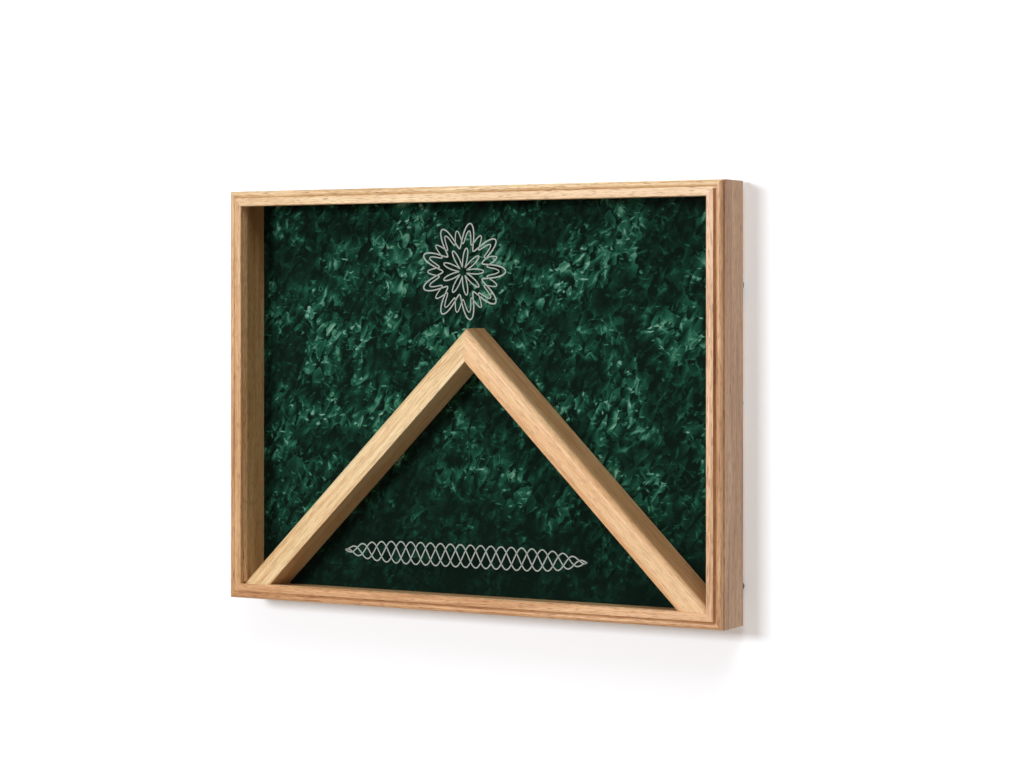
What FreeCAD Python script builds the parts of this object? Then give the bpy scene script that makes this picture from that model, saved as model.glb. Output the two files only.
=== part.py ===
import FreeCAD, Part
import math
import os
import Sketcher

# Folded flag display case: a mitred oak box with a glass front, two oak bars that
# frame the flag's triangle, and a velvet backing held in from behind by turn buttons.
# Millimetres. The front faces -Y, +Z is up, and the origin is the middle of the
# bottom face, halfway through the depth of the boards.

doc = FreeCAD.newDocument("flag_display_case")
Vector = FreeCAD.Vector
ROOT_TWO = math.sqrt(2.0)

# Every size of the case, in millimetres.
SIZES = {
    # the box
    "case_width": 455.0,
    "case_height": 343.0,
    "case_depth": 42.0,
    # section of the boards, measured from the front face and the sight edge
    "board_width": 12.7,
    "face_width": 6.0,
    "lip_thickness": 3.0,
    "lip_reach": 2.0,
    "velvet_plane": 37.4,
    "rebate_reach": 4.4,
    "arris": 0.5,
    "rear_arris": 0.8,
    # corner bead between two quirks
    "bead_radius": 2.7,
    "bead_inset": 3.0,
    "bead_depth": 4.4,
    "quirk_floor": 3.6,
    "side_quirk_floor": 1.2,
    "side_quirk_end": 7.4,
    # glass and its strips
    "glass_thickness": 2.0,
    "glass_slack": 0.3,
    "seat_gap": 0.05,
    "fillet_depth": 4.85,
    # divider bars
    "bar_width": 19.05,
    "bar_apex": 201.5,
    "bar_round": 5.0,
    "bar_gap": 0.15,
    "wall_gap": 0.1,
    # backing
    "velvet_thickness": 0.9,
    "backing_thickness": 3.0,
    "panel_slack": 0.5,
    # bent corner nails
    "nail_leg": 6.0,
    "nail_sheet": 0.6,
    "nail_height": 10.0,
    "nail_inset": 4.2,
    # pins of the glass strips
    "brad_radius": 0.5,
    "brad_length": 8.0,
    # turn buttons and pan head screws
    "button_length": 19.0,
    "button_width": 7.5,
    "button_thickness": 1.2,
    "button_hole": 1.55,
    "button_inset": 4.2,
    "button_spread": 120.0,
    "turning_gap": 0.1,
    "screw_radius": 1.5,
    "screw_length": 14.0,
    "head_radius": 2.9,
    "head_height": 1.5,
    "cross_width": 0.7,
    "cross_length": 3.2,
    "cross_depth": 0.8,
    # countersunk screws of the bars
    "bar_screw_radius": 1.75,
    "bar_screw_length": 18.0,
    "bar_screw_head": 3.5,
    "bar_screw_sink": 0.3,
    "bar_screw_spread": 9.0,
    # hanging rings
    "hanger_inset": 5.5,
    "hanger_height": 265.0,
    "strap_width": 5.4,
    "strap_sheet": 0.8,
    "strap_length": 16.0,
    "strap_screw": 12.0,
    "wire_radius": 0.9,
    "ring_gap": 0.05,
    "ring_bar": 3.0,
    "ring_corner": 1.2,
    "ring_side": 1.0,
    # wall bumpers
    "bumper_radius": 4.0,
    "bumper_top": 3.2,
    "bumper_height": 4.2,
    "bumper_inset": 4.2,
    "bumper_rise": 30.0,
}
RING_REST_TILT = 8.0

sheet = doc.addObject("Spreadsheet::Sheet", "Sizes")
for row, (alias, number) in enumerate(SIZES.items(), start=1):
    sheet.set("A%d" % row, alias)
    sheet.set("B%d" % row, str(number))
    sheet.setAlias("B%d" % row, alias)
doc.recompute()


class Size:
    """A length as a number together with the sheet expression that gives it."""

    def __init__(self, number, words, loose=False):
        self.number = number
        self.words = words
        self.loose = loose

    def __add__(self, other):
        return Size(self.number + other.number, "(%s + %s)" % (self.words, other.words))

    def __sub__(self, other):
        return Size(self.number - other.number, "(%s - %s)" % (self.words, other.words))

    def __mul__(self, factor):
        return Size(self.number * factor, "(%s * %.9f)" % (self.words, factor))

    def __truediv__(self, factor):
        return Size(self.number / factor, "(%s / %.9f)" % (self.words, factor))

    def __neg__(self):
        return self * -1.0


def size(alias):
    """The sheet's value under this alias."""
    return Size(float(sheet.get(alias)), "Sizes.%s" % alias)


def exact(number):
    """A plain number of millimetres."""
    return Size(float(number), "%.9f" % number)


def loose(number):
    """A first guess for a coordinate that an arc decides."""
    return Size(float(number), "", loose=True)


ZERO = exact(0.0)
half_depth = size("case_depth") / 2.0
half_width = size("case_width") / 2.0
half_height = size("case_height") / 2.0


def behind_front(depth):
    """Depth coordinate of a plane this far behind the front faces."""
    return depth - half_depth


def bind(item, name, length):
    """Drive one property of an object from the sheet."""
    item.setExpression(name, "%s * 1 mm" % length.words)


def place(item, across, deep, up, axis=Vector(0, 1, 0), angle=0.0):
    """Put an object at a point that the sheet drives, turned about an axis."""
    spot = Vector(across.number, deep.number, up.number)
    item.Placement = FreeCAD.Placement(spot, FreeCAD.Rotation(axis, angle))
    bind(item, "Placement.Base.x", across)
    bind(item, "Placement.Base.y", deep)
    bind(item, "Placement.Base.z", up)


def origin_plane(body, role):
    """One of a body's own origin planes."""
    for feature in body.Origin.OriginFeatures:
        if feature.Role == role:
            return feature
    raise ValueError("no plane called %s" % role)


def new_body(label):
    body = doc.addObject("PartDesign::Body", label)
    body.Label = label
    return body


def new_sketch(body, name, role, shift=None, tilt=None):
    """An empty sketch on an origin plane, moved by sheet lengths and tilted about Y."""
    sketch = body.newObject("Sketcher::SketchObject", name)
    sketch.AttachmentSupport = [(origin_plane(body, role), "")]
    sketch.MapMode = "FlatFace"
    if shift is not None:
        spot = Vector(shift[0].number, shift[1].number, shift[2].number)
        turn = FreeCAD.Rotation(Vector(0, 1, 0), tilt or 0.0)
        sketch.AttachmentOffset = FreeCAD.Placement(spot, turn)
        for letter, length in zip("xyz", shift):
            bind(sketch, "AttachmentOffset.Base.%s" % letter, length)
    return sketch


def pin(sketch, item, point, across, up):
    """Hold one sketch point at its coordinates."""
    for kind, length in (("DistanceX", across), ("DistanceY", up)):
        if length.loose:
            continue
        rule = sketch.addConstraint(Sketcher.Constraint(kind, item, point, length.number))
        bind(sketch, "Constraints[%d]" % rule, length)


def bend(sketch, start, end, arc):
    """Add an arc from one corner to the next and hold its radius."""
    middle = Vector(arc["centre"][0].number, arc["centre"][1].number, 0)
    first = math.atan2(start[1].number - middle.y, start[0].number - middle.x)
    last = math.atan2(end[1].number - middle.y, end[0].number - middle.x)
    if arc["turn"] < 0:
        first, last = last, first
    if last < first:
        last += 2.0 * math.pi
    circle = Part.Circle(middle, Vector(0, 0, 1), arc["radius"].number)
    item = sketch.addGeometry(Part.ArcOfCircle(circle, first, last), False)
    rule = sketch.addConstraint(Sketcher.Constraint("Radius", item, arc["radius"].number))
    bind(sketch, "Constraints[%d]" % rule, arc["radius"])
    if arc["hold_centre"]:
        pin(sketch, item, 3, arc["centre"][0], arc["centre"][1])
    return item


def outline(sketch, corners, arcs=None):
    """Draw a closed outline through the corners; a segment named in arcs is bent."""
    arcs = arcs or {}
    items = []
    for index, start in enumerate(corners):
        end = corners[(index + 1) % len(corners)]
        if index in arcs:
            items.append((bend(sketch, start, end, arcs[index]), arcs[index]["turn"]))
            continue
        line = Part.LineSegment(
            Vector(start[0].number, start[1].number, 0),
            Vector(end[0].number, end[1].number, 0),
        )
        items.append((sketch.addGeometry(line, False), 1))
    for index, (item, turn) in enumerate(items):
        follower, next_turn = items[(index + 1) % len(items)]
        tail = 2 if turn > 0 else 1
        head = 1 if next_turn > 0 else 2
        sketch.addConstraint(Sketcher.Constraint("Coincident", item, tail, follower, head))
    for (item, turn), corner in zip(items, corners):
        pin(sketch, item, 1 if turn > 0 else 2, corner[0], corner[1])


def arc_about(across, up, radius, turn, hold_centre=True):
    """Describe a bent segment for an outline."""
    return {"centre": (across, up), "radius": radius, "turn": turn, "hold_centre": hold_centre}


def circles(sketch, centres, radius):
    """Draw circles of one radius."""
    for across, up in centres:
        middle = Vector(across.number, up.number, 0)
        circle = Part.Circle(middle, Vector(0, 0, 1), radius.number)
        item = sketch.addGeometry(circle, False)
        rule = sketch.addConstraint(Sketcher.Constraint("Radius", item, radius.number))
        bind(sketch, "Constraints[%d]" % rule, radius)
        pin(sketch, item, 3, across, up)


def pad(body, sketch, name, length, both_ways=True):
    """Raise a sketch into a solid."""
    feature = body.newObject("PartDesign::Pad", name)
    feature.Profile = sketch
    bind(feature, "Length", length)
    if both_ways:
        feature.SideType = "Symmetric"
    sketch.Visibility = False
    doc.recompute()
    return feature


def cut(body, sketch, name, depth=None, flip=False):
    """Cut a sketch out of a body, right through where no depth is given."""
    before = body.Shape.Volume
    feature = body.newObject("PartDesign::Pocket", name)
    feature.Profile = sketch
    if depth is None:
        feature.Type = "ThroughAll"
        feature.SideType = "Symmetric"
    else:
        feature.Type = "Length"
        bind(feature, "Length", depth)
        feature.Reversed = flip
    doc.recompute()
    removed = before - body.Shape.Volume
    if removed < 0.01:
        raise ValueError("%s took nothing away from %s" % (name, body.Label))
    return feature


def frame_section(body):
    """The section of a frame board: flat face, quirks and bead, lip, wall and rear rebate.

    Across the sketch is depth from front to back and up is the way from the outer
    side towards the sight edge.
    """
    sketch = new_sketch(body, body.Label + "_section", "YZ_Plane")
    front = behind_front(ZERO)
    back = half_depth
    sight = size("board_width")
    bead_deep = behind_front(size("bead_depth"))
    bead_up = size("bead_inset")
    radius = size("bead_radius")
    quirk = sight - size("face_width")
    quirk_floor = behind_front(size("quirk_floor"))
    rise = math.sqrt(radius.number ** 2 - (bead_deep.number - quirk_floor.number) ** 2)
    sink = math.sqrt(radius.number ** 2 - (bead_up.number - size("side_quirk_floor").number) ** 2)
    side_end = behind_front(size("side_quirk_end"))
    wall = sight - size("lip_reach")
    ledge = behind_front(size("velvet_plane"))
    rebate = sight - size("rebate_reach")
    corners = [
        (front + size("arris"), sight),
        (front, sight - size("arris")),
        (front, quirk),
        (quirk_floor, quirk),
        (quirk_floor, loose(bead_up.number + rise)),
        (loose(bead_deep.number + sink), size("side_quirk_floor")),
        (side_end, size("side_quirk_floor")),
        (side_end, ZERO),
        (back - size("rear_arris"), ZERO),
        (back, size("rear_arris")),
        (back, rebate),
        (ledge, rebate),
        (ledge, wall),
        (behind_front(size("lip_thickness")), wall),
        (behind_front(size("lip_thickness")), sight),
    ]
    outline(sketch, corners, {4: arc_about(bead_deep, bead_up, radius, 1)})
    return sketch


def bar_section(body):
    """The section of a divider bar: square, with a rounded outer front edge."""
    sketch = new_sketch(body, body.Label + "_section", "YZ_Plane")
    front = behind_front(size("lip_thickness") + size("glass_thickness") + size("bar_gap"))
    back = behind_front(size("velvet_plane") - size("seat_gap"))
    top = size("bar_width")
    radius = size("bar_round")
    corners = [
        (front + size("arris"), top),
        (front, top - size("arris")),
        (front, radius),
        (front + radius, ZERO),
        (back, ZERO),
        (back, top),
    ]
    outline(sketch, corners, {2: arc_about(front + radius, radius, radius, 1, False)})
    return sketch


def mitred_board(label, length, width, section):
    """A board along X whose ends are cut at 45 degrees, longer on its outer side."""
    body = new_body(label)
    pad(body, section(body), label + "_length", length)
    end = length / 2.0
    past = exact(1.0)
    sketch = new_sketch(body, label + "_mitre_lines", "XZ_Plane")
    for way in (-1.0, 1.0):
        outline(sketch, [
            ((end + past) * way, -past),
            ((end + past) * way, width + past),
            ((end - width - past) * way, width + past),
        ])
    cut(body, sketch, label + "_mitres")
    return body


def nail_slots(body, ends, inset, back):
    """Slots from behind for one leg of a corner nail at each named end."""
    half_sheet = size("nail_sheet") / 2.0
    sketch = new_sketch(body, body.Label + "_nail_lines", "XZ_Plane", (ZERO, ZERO, -back))
    for end, way in ends:
        outline(sketch, [
            ((end - inset + half_sheet) * way, inset - half_sheet),
            ((end - inset + half_sheet) * way, inset + half_sheet),
            ((end - inset - size("nail_leg")) * way, inset + half_sheet),
            ((end - inset - size("nail_leg")) * way, inset - half_sheet),
        ])
    cut(body, sketch, body.Label + "_nail_slots", size("nail_height"), flip=True)


def rear_holes(body, name, centres, depth):
    """Pilot holes bored into the back edge of a board."""
    sketch = new_sketch(body, name + "_lines", "XZ_Plane", (ZERO, ZERO, -half_depth))
    circles(sketch, centres, size("screw_radius"))
    cut(body, sketch, name, depth, flip=True)


def brad_holes(body, along):
    """Pin holes for a glass strip, bored into the wall behind the lip."""
    wall = size("board_width") - size("lip_reach")
    sketch = new_sketch(body, body.Label + "_brad_lines", "XY_Plane", (ZERO, ZERO, wall))
    circles(sketch, [(spot, fillet_middle) for spot in along], size("brad_radius"))
    cut(body, sketch, body.Label + "_brad_holes", size("brad_length") - size("lip_reach"))


# Places that several pieces share.
fillet_front = size("lip_thickness") + size("glass_thickness") + size("seat_gap")
fillet_middle = behind_front(fillet_front + size("fillet_depth") / 2.0)
floor_height = size("board_width") - size("lip_reach")
inner_half = half_width - floor_height
bar_rise = size("bar_apex") + size("bar_width") * ROOT_TWO - floor_height
bar_length = bar_rise * ROOT_TWO
foot_middle = bar_rise - size("bar_width") * (ROOT_TWO / 2.0)
pilot_depth = size("screw_length") - size("button_thickness") - size("turning_gap")
long_brads = [exact(-130.0), ZERO, exact(130.0)]
short_brads = [exact(-90.0), exact(90.0)]
hanger_screw_height = size("hanger_height") - size("strap_screw")

# The four frame boards. Each is made lying along X with its outer side down, then
# turned about Y into its place.
boards = {}
board_places = (
    ("bottom_rail", "case_width", ZERO, ZERO, 0.0),
    ("top_rail", "case_width", ZERO, size("case_height"), 180.0),
    ("left_stile", "case_height", -half_width, half_height, 90.0),
    ("right_stile", "case_height", half_width, half_height, -90.0),
)
for label, length_alias, across, up, angle in board_places:
    board = mitred_board(label, size(length_alias), size("board_width"), frame_section)
    end = size(length_alias) / 2.0
    nail_slots(board, [(end, -1.0), (end, 1.0)], size("nail_inset"), half_depth)
    upright = label.endswith("stile")
    spread = [ZERO] if upright else [-size("button_spread"), size("button_spread")]
    pivots = [(spot, size("button_inset")) for spot in spread]
    rear_holes(board, label + "_button_holes", pivots, pilot_depth)
    brad_holes(board, short_brads if upright else long_brads)
    boards[label] = board
    place(board, across, ZERO, up, Vector(0, 1, 0), angle)

for label, way in (("left_stile", -1.0), ("right_stile", 1.0)):
    spot = (hanger_screw_height - half_height) * way
    rear_holes(boards[label], label + "_hanger_hole", [(spot, size("hanger_inset"))], pilot_depth)

# Countersunk holes through the bottom rail for the screws of the bars.
rail = boards["bottom_rail"]
screw_spots = []
for way in (-1.0, 1.0):
    for side in (-1.0, 1.0):
        screw_spots.append((foot_middle * way, size("bar_screw_spread") * side))
hole_lines = new_sketch(rail, "bar_screw_lines", "XY_Plane")
circles(hole_lines, screw_spots, size("bar_screw_radius"))
doc.recompute()
bar_holes = rail.newObject("PartDesign::Hole", "bar_screw_holes")
bar_holes.Profile = hole_lines
bar_holes.ThreadType = "None"
bar_holes.DepthType = "ThroughAll"
bar_holes.Reversed = True
bar_holes.setExpression("Diameter", "Sizes.bar_screw_radius * 2 mm")
bar_holes.HoleCutType = "Countersink"
bar_holes.HoleCutCustomValues = True
bar_holes.setExpression("HoleCutDiameter", "(Sizes.bar_screw_head + Sizes.bar_screw_sink) * 2 mm")
bar_holes.HoleCutCountersinkAngle = 90.0
doc.recompute()

# The divider bars: the same mitred board, with the toe squared off against the wall,
# a nail slot at the apex and pilot holes in the foot.
toe = bar_rise - inner_half + size("wall_gap")
bar_back = behind_front(size("velvet_plane") - size("seat_gap"))
apex_inset = size("bar_width") / 2.0
past = exact(1.0)
for label, way, angle in (("left_bar", 1.0, 135.0), ("right_bar", -1.0, 225.0)):
    bar = mitred_board(label, bar_length, size("bar_width"), bar_section)
    tip = bar_length / 2.0
    toe_lines = new_sketch(bar, label + "_toe_lines", "XZ_Plane")
    outline(toe_lines, [
        ((tip - toe * ROOT_TWO - past) * way, -past),
        ((tip + past) * way, -past),
        ((tip - toe / ROOT_TWO + past) * way, toe / ROOT_TWO + past),
    ])
    cut(bar, toe_lines, label + "_toe")
    nail_slots(bar, [(tip, -way)], apex_inset, bar_back)
    shift = ((tip - size("bar_width") / 2.0) * way, ZERO, size("bar_width") / 2.0)
    foot_lines = new_sketch(bar, label + "_foot_lines", "XY_Plane", shift, 45.0 * way)
    spread = (-size("bar_screw_spread"), size("bar_screw_spread"))
    circles(foot_lines, [(ZERO, spot) for spot in spread], size("bar_screw_radius"))
    bore = size("bar_screw_length") + size("bar_screw_sink") - floor_height
    cut(bar, foot_lines, label + "_foot_holes", bore)
    place(bar, bar_rise * (-way / 2.0), ZERO, floor_height + bar_rise / 2.0, Vector(0, 1, 0), angle)


def slab(label, low, high):
    """A flat rectangular piece between two opposite corners."""
    box = doc.addObject("Part::Box", label)
    box.Label = label
    for name, start, stop in zip(("Length", "Width", "Height"), low, high):
        bind(box, name, stop - start)
    place(box, low[0], low[1], low[2])
    return box


# Glass, standing on the bottom rail behind the lip.
glass_front = behind_front(size("lip_thickness"))
glass_half = inner_half - size("glass_slack")
slab(
    "glass_pane",
    (-glass_half, glass_front, floor_height),
    (glass_half, glass_front + size("glass_thickness"),
     size("case_height") - floor_height - size("glass_slack") * 2.0),
)

# Oak strips that hold the glass, flush with the lip.
strip_front = behind_front(fillet_front)
strip_back = strip_front + size("fillet_depth")
ceiling = size("case_height") - floor_height
sight_top = size("case_height") - size("board_width")
sight_half = half_width - size("board_width")
bar_top = size("bar_apex") + size("bar_width") * ROOT_TWO
side_start = bar_top - sight_half + size("wall_gap") * 2.0
low_half = size("bar_apex") - size("board_width") - size("wall_gap") * 2.0
slab("glass_fillet_top", (-inner_half, strip_front, sight_top), (inner_half, strip_back, ceiling))
slab("glass_fillet_bottom", (-low_half, strip_front, floor_height),
     (low_half, strip_back, size("board_width")))
slab("glass_fillet_left", (-inner_half, strip_front, side_start), (-sight_half, strip_back, sight_top))
slab("glass_fillet_right", (sight_half, strip_front, side_start), (inner_half, strip_back, sight_top))

# Velvet and the board it is stretched on, in the rear rebate.
panel_edge = size("board_width") - size("rebate_reach") + size("panel_slack")
panel_half = half_width - panel_edge
panel_top = size("case_height") - panel_edge
velvet_front = behind_front(size("velvet_plane"))
velvet_back = velvet_front + size("velvet_thickness")
slab("velvet_cover", (-panel_half, velvet_front, panel_edge), (panel_half, velvet_back, panel_top))
slab("backing_board", (-panel_half, velvet_back, panel_edge),
     (panel_half, velvet_back + size("backing_thickness"), panel_top))

# Holes in the glass strips for their pins.
strips = (
    ("glass_fillet_top", ZERO, sight_top, long_brads, Vector(1, 0, 0)),
    ("glass_fillet_bottom", ZERO, size("board_width"), long_brads, Vector(1, 0, 0)),
    ("glass_fillet_left", -sight_half, half_height, short_brads, Vector(0, 0, 1)),
    ("glass_fillet_right", sight_half, half_height, short_brads, Vector(0, 0, 1)),
)
INWARD_TURN = {
    "glass_fillet_top": (Vector(1, 0, 0), 0.0),
    "glass_fillet_bottom": (Vector(1, 0, 0), 180.0),
    "glass_fillet_left": (Vector(0, 1, 0), -90.0),
    "glass_fillet_right": (Vector(0, 1, 0), 90.0),
}


def pins_of_strip(name, across, up, along, direction):
    """Round pins from a strip's inner face outwards into its board."""
    made = []
    axis, angle = INWARD_TURN[name]
    for number, spot in enumerate(along, start=1):
        brad = doc.addObject("Part::Cylinder", "%s_brad_%d" % (name, number))
        bind(brad, "Radius", size("brad_radius"))
        bind(brad, "Height", size("brad_length"))
        place(brad, across + spot * direction.x, fillet_middle, up + spot * direction.z, axis, angle)
        made.append(brad)
    return made


def group(label, items):
    """Like pieces as one node of separate solids."""
    bundle = doc.addObject("Part::Compound", label)
    bundle.Label = label
    bundle.Links = items
    return bundle


all_brads = []
pinned_strips = {}
for name, across, up, along, direction in strips:
    brads = pins_of_strip(name, across, up, along, direction)
    plain = doc.getObject(name)
    plain.Label = name + "_plain"
    pinned = doc.addObject("Part::Cut", name + "_pinned")
    pinned.Base = plain
    pinned.Tool = group(name + "_pins", brads)
    pinned.Label = name
    pinned_strips[name] = pinned
    all_brads.extend(brads)
fillet_brads = group("fillet_brads", all_brads)

# Bent nail across a mitre: two legs at a right angle, one in each board.
nail = new_body("corner_nail")
nail_lines = new_sketch(nail, "corner_nail_lines", "XZ_Plane")
half_sheet = size("nail_sheet") / 2.0
outline(nail_lines, [
    (-half_sheet, -half_sheet),
    (size("nail_leg"), -half_sheet),
    (size("nail_leg"), half_sheet),
    (half_sheet, half_sheet),
    (half_sheet, size("nail_leg")),
    (-half_sheet, size("nail_leg")),
])
pad(nail, nail_lines, "corner_nail_height", size("nail_height"), both_ways=False)


def copies(master, places):
    """Links to one master piece, each at its own place."""
    made = []
    for number, (across, deep, up, axis, angle) in enumerate(places, start=1):
        link = doc.addObject("App::Link", "%s_%d" % (master.Name, number))
        link.LinkedObject = master
        place(link, across, deep, up, axis, angle)
        made.append(link)
    return made


upright_axis = Vector(0, 1, 0)
nail_across = half_width - size("nail_inset")
nail_high = size("case_height") - size("nail_inset")
apex_up = size("bar_apex") + size("bar_width") * (ROOT_TWO / 2.0)
corner_nails = group("corner_nails", copies(nail, [
    (-nail_across, half_depth, size("nail_inset"), upright_axis, 0.0),
    (nail_across, half_depth, size("nail_inset"), upright_axis, -90.0),
    (nail_across, half_depth, nail_high, upright_axis, 180.0),
    (-nail_across, half_depth, nail_high, upright_axis, 90.0),
    (ZERO, bar_back, apex_up, upright_axis, 135.0),
]))


def cross_recess(body, up):
    """Cut a cross slot into a screw's head."""
    narrow = size("cross_width") / 2.0
    reach = size("cross_length") / 2.0
    sketch = new_sketch(body, body.Label + "_cross_lines", "XY_Plane", (ZERO, ZERO, up))
    outline(sketch, [
        (narrow, narrow), (narrow, reach), (-narrow, reach), (-narrow, narrow),
        (-reach, narrow), (-reach, -narrow), (-narrow, -narrow), (-narrow, -reach),
        (narrow, -reach), (narrow, -narrow), (reach, -narrow), (reach, narrow),
    ])
    cut(body, sketch, body.Label + "_cross", size("cross_depth"))


def turned_screw(label, corners, arcs=None):
    """Turn half a screw's section about its axis."""
    body = new_body(label)
    sketch = new_sketch(body, label + "_half", "XZ_Plane")
    outline(sketch, corners, arcs)
    feature = body.newObject("PartDesign::Revolution", label + "_turned")
    feature.Profile = sketch
    feature.ReferenceAxis = (sketch, ["V_Axis"])
    feature.Angle = 360.0
    doc.recompute()
    return body


# Pan head screw, its underside at the origin and its head upwards.
shank = size("screw_radius")
tip_up = -size("screw_length")
rim = size("head_height") * 0.45
crown = size("head_radius") * 0.45
pan_screw = turned_screw("pan_screw", [
    (ZERO, tip_up),
    (shank, tip_up + shank * 1.6),
    (shank, ZERO),
    (size("head_radius"), ZERO),
    (size("head_radius"), rim),
    (crown, size("head_height")),
    (ZERO, size("head_height")),
])
cross_recess(pan_screw, size("head_height"))

# Countersunk screw, its flat head at the origin and its point upwards.
bar_shank = size("bar_screw_radius")
head = size("bar_screw_head")
sunk_screw = turned_screw("sunk_screw", [
    (ZERO, ZERO),
    (ZERO, -size("bar_screw_length")),
    (bar_shank, bar_shank * 1.6 - size("bar_screw_length")),
    (bar_shank, bar_shank - head),
    (head, ZERO),
])
cross_recess(sunk_screw, ZERO)

# Turn buttons. At rest each points inwards over the backing board.
button_top = half_depth + size("turning_gap") + size("button_thickness")
head_seat = button_top + size("turning_gap")
button_high = size("case_height") - size("button_inset")
button_far = half_width - size("button_inset")
spread = size("button_spread")
button_places = (
    ("turn_button_top_left", -spread, button_high, 180.0),
    ("turn_button_top_right", spread, button_high, 180.0),
    ("turn_button_bottom_left", -spread, size("button_inset"), 0.0),
    ("turn_button_bottom_right", spread, size("button_inset"), 0.0),
    ("turn_button_left", -button_far, half_height, 90.0),
    ("turn_button_right", button_far, half_height, -90.0),
)
half_button = size("button_width") / 2.0
left_side = loose(-half_button.number)
right_side = loose(half_button.number)
reach = size("button_length") - size("button_width")
for label, across, up, angle in button_places:
    button = new_body(label)
    lines = new_sketch(button, label + "_lines", "XZ_Plane")
    outline(
        lines,
        [(left_side, ZERO), (right_side, ZERO), (right_side, reach), (left_side, reach)],
        {
            0: arc_about(ZERO, ZERO, half_button, 1),
            2: arc_about(ZERO, reach, half_button, 1),
        },
    )
    circles(lines, [(ZERO, ZERO)], size("button_hole"))
    plate = pad(button, lines, label + "_plate", size("button_thickness"), both_ways=False)
    plate.Reversed = True
    place(button, across, half_depth + size("turning_gap"), up, upright_axis, angle)
doc.recompute()

head_out = Vector(1, 0, 0)
button_screws = group("button_screws", copies(pan_screw, [
    (across, head_seat, up, head_out, -90.0) for label, across, up, angle in button_places
]))
bar_screws = group("bar_screws", copies(sunk_screw, [
    (across, deep, size("bar_screw_sink"), head_out, 180.0) for across, deep in screw_spots
]))

# Hanging rings: a strap of sheet rolled round the straight side of a wire ring.
loop_inner = size("wire_radius") + size("ring_gap")
loop_outer = loop_inner + size("strap_sheet")
doubled = size("strap_sheet") * 2.0
ring_deep = half_depth + loop_outer
hanger_across = half_width - size("hanger_inset")
meeting = math.sqrt(loop_outer.number ** 2 - (loop_outer.number - doubled.number) ** 2)
ring_reach = size("ring_bar") + size("ring_corner")
ring_drop = size("ring_corner") + size("ring_side")
hanger_screw_places = []
for side, way in (("left", -1.0), ("right", 1.0)):
    strap = new_body("hanger_strap_" + side)
    lines = new_sketch(strap, strap.Label + "_lines", "YZ_Plane")
    outline(
        lines,
        [
            (ZERO, -size("strap_length")),
            (doubled, -size("strap_length")),
            (doubled, loose(-meeting)),
            (loose(0.0), ZERO),
        ],
        {2: arc_about(loop_outer, ZERO, loop_outer, 1)},
    )
    circles(lines, [(loop_outer, ZERO)], loop_inner)
    pad(strap, lines, strap.Label + "_roll", size("strap_width"))
    hole_lines = new_sketch(strap, strap.Label + "_hole_lines", "XZ_Plane")
    circles(hole_lines, [(ZERO, -size("strap_screw"))], size("button_hole"))
    cut(strap, hole_lines, strap.Label + "_hole")
    place(strap, hanger_across * way, half_depth, size("hanger_height"))

    ring = new_body("hanger_ring_" + side)
    path = new_sketch(ring, ring.Label + "_path", "XZ_Plane")
    outline(
        path,
        [
            (ZERO, ZERO),
            (-size("ring_bar"), ZERO),
            (-ring_reach, -size("ring_corner")),
            (loose(-ring_reach.number), -ring_drop),
            (loose(ring_reach.number), -ring_drop),
            (ring_reach, -size("ring_corner")),
            (size("ring_bar"), ZERO),
        ],
        {
            1: arc_about(-size("ring_bar"), -size("ring_corner"), size("ring_corner"), 1, False),
            3: arc_about(ZERO, -ring_drop, ring_reach, 1),
            5: arc_about(size("ring_bar"), -size("ring_corner"), size("ring_corner"), 1, False),
        },
    )
    wire = new_sketch(ring, ring.Label + "_wire", "YZ_Plane")
    circles(wire, [(ZERO, ZERO)], size("wire_radius"))
    doc.recompute()
    sweep = ring.newObject("PartDesign::AdditivePipe", ring.Label + "_sweep")
    sweep.Profile = wire
    sweep.Spine = (path, [])
    doc.recompute()
    place(ring, hanger_across * way, ring_deep, size("hanger_height"), Vector(1, 0, 0), RING_REST_TILT)
    seat = half_depth + doubled
    hanger_screw_places.append((hanger_across * way, seat, hanger_screw_height, head_out, -90.0))
hanger_screws = group("hanger_screws", copies(pan_screw, hanger_screw_places))

# Bumpers that keep the back clear of the wall.
bumpers = []
for way in (-1.0, 1.0):
    bumper = doc.addObject("Part::Cone", "bumper_%s" % ("left" if way < 0 else "right"))
    bind(bumper, "Radius1", size("bumper_radius"))
    bind(bumper, "Radius2", size("bumper_top"))
    bind(bumper, "Height", size("bumper_height"))
    bumper_across = (half_width - size("bumper_inset")) * way
    place(bumper, bumper_across, half_depth, size("bumper_rise"), head_out, -90.0)
    bumpers.append(bumper)
wall_bumpers = group("wall_bumpers", bumpers)
doc.recompute()

# Every node of the case, checked and then written.
nodes = [boards[label] for label in ("bottom_rail", "top_rail", "left_stile", "right_stile")]
for name in ("left_bar", "right_bar", "glass_pane", "velvet_cover", "backing_board"):
    nodes.append(doc.getObject(name))
nodes.extend(pinned_strips[name] for name in sorted(pinned_strips))
nodes.extend(doc.getObject(label) for label, across, up, angle in button_places)
for side in ("left", "right"):
    nodes.append(doc.getObject("hanger_strap_" + side))
    nodes.append(doc.getObject("hanger_ring_" + side))
nodes.extend([corner_nails, fillet_brads, button_screws, bar_screws, hanger_screws, wall_bumpers])

for item in doc.Objects:
    if "Invalid" in item.State or "Error" in item.State:
        raise ValueError("%s did not build: %s" % (item.Label, item.State))
os.makedirs("parts", exist_ok=True)
for node in nodes:
    shape = node.Shape
    if shape.isNull() or not shape.isValid() or not shape.Solids:
        raise ValueError("%s has no sound shape" % node.Label)
    shape.exportStep("parts/%s.step" % node.Label)
    print("%-26s %2d solid %10.1f mm3" % (node.Label, len(shape.Solids), shape.Volume))
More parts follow.
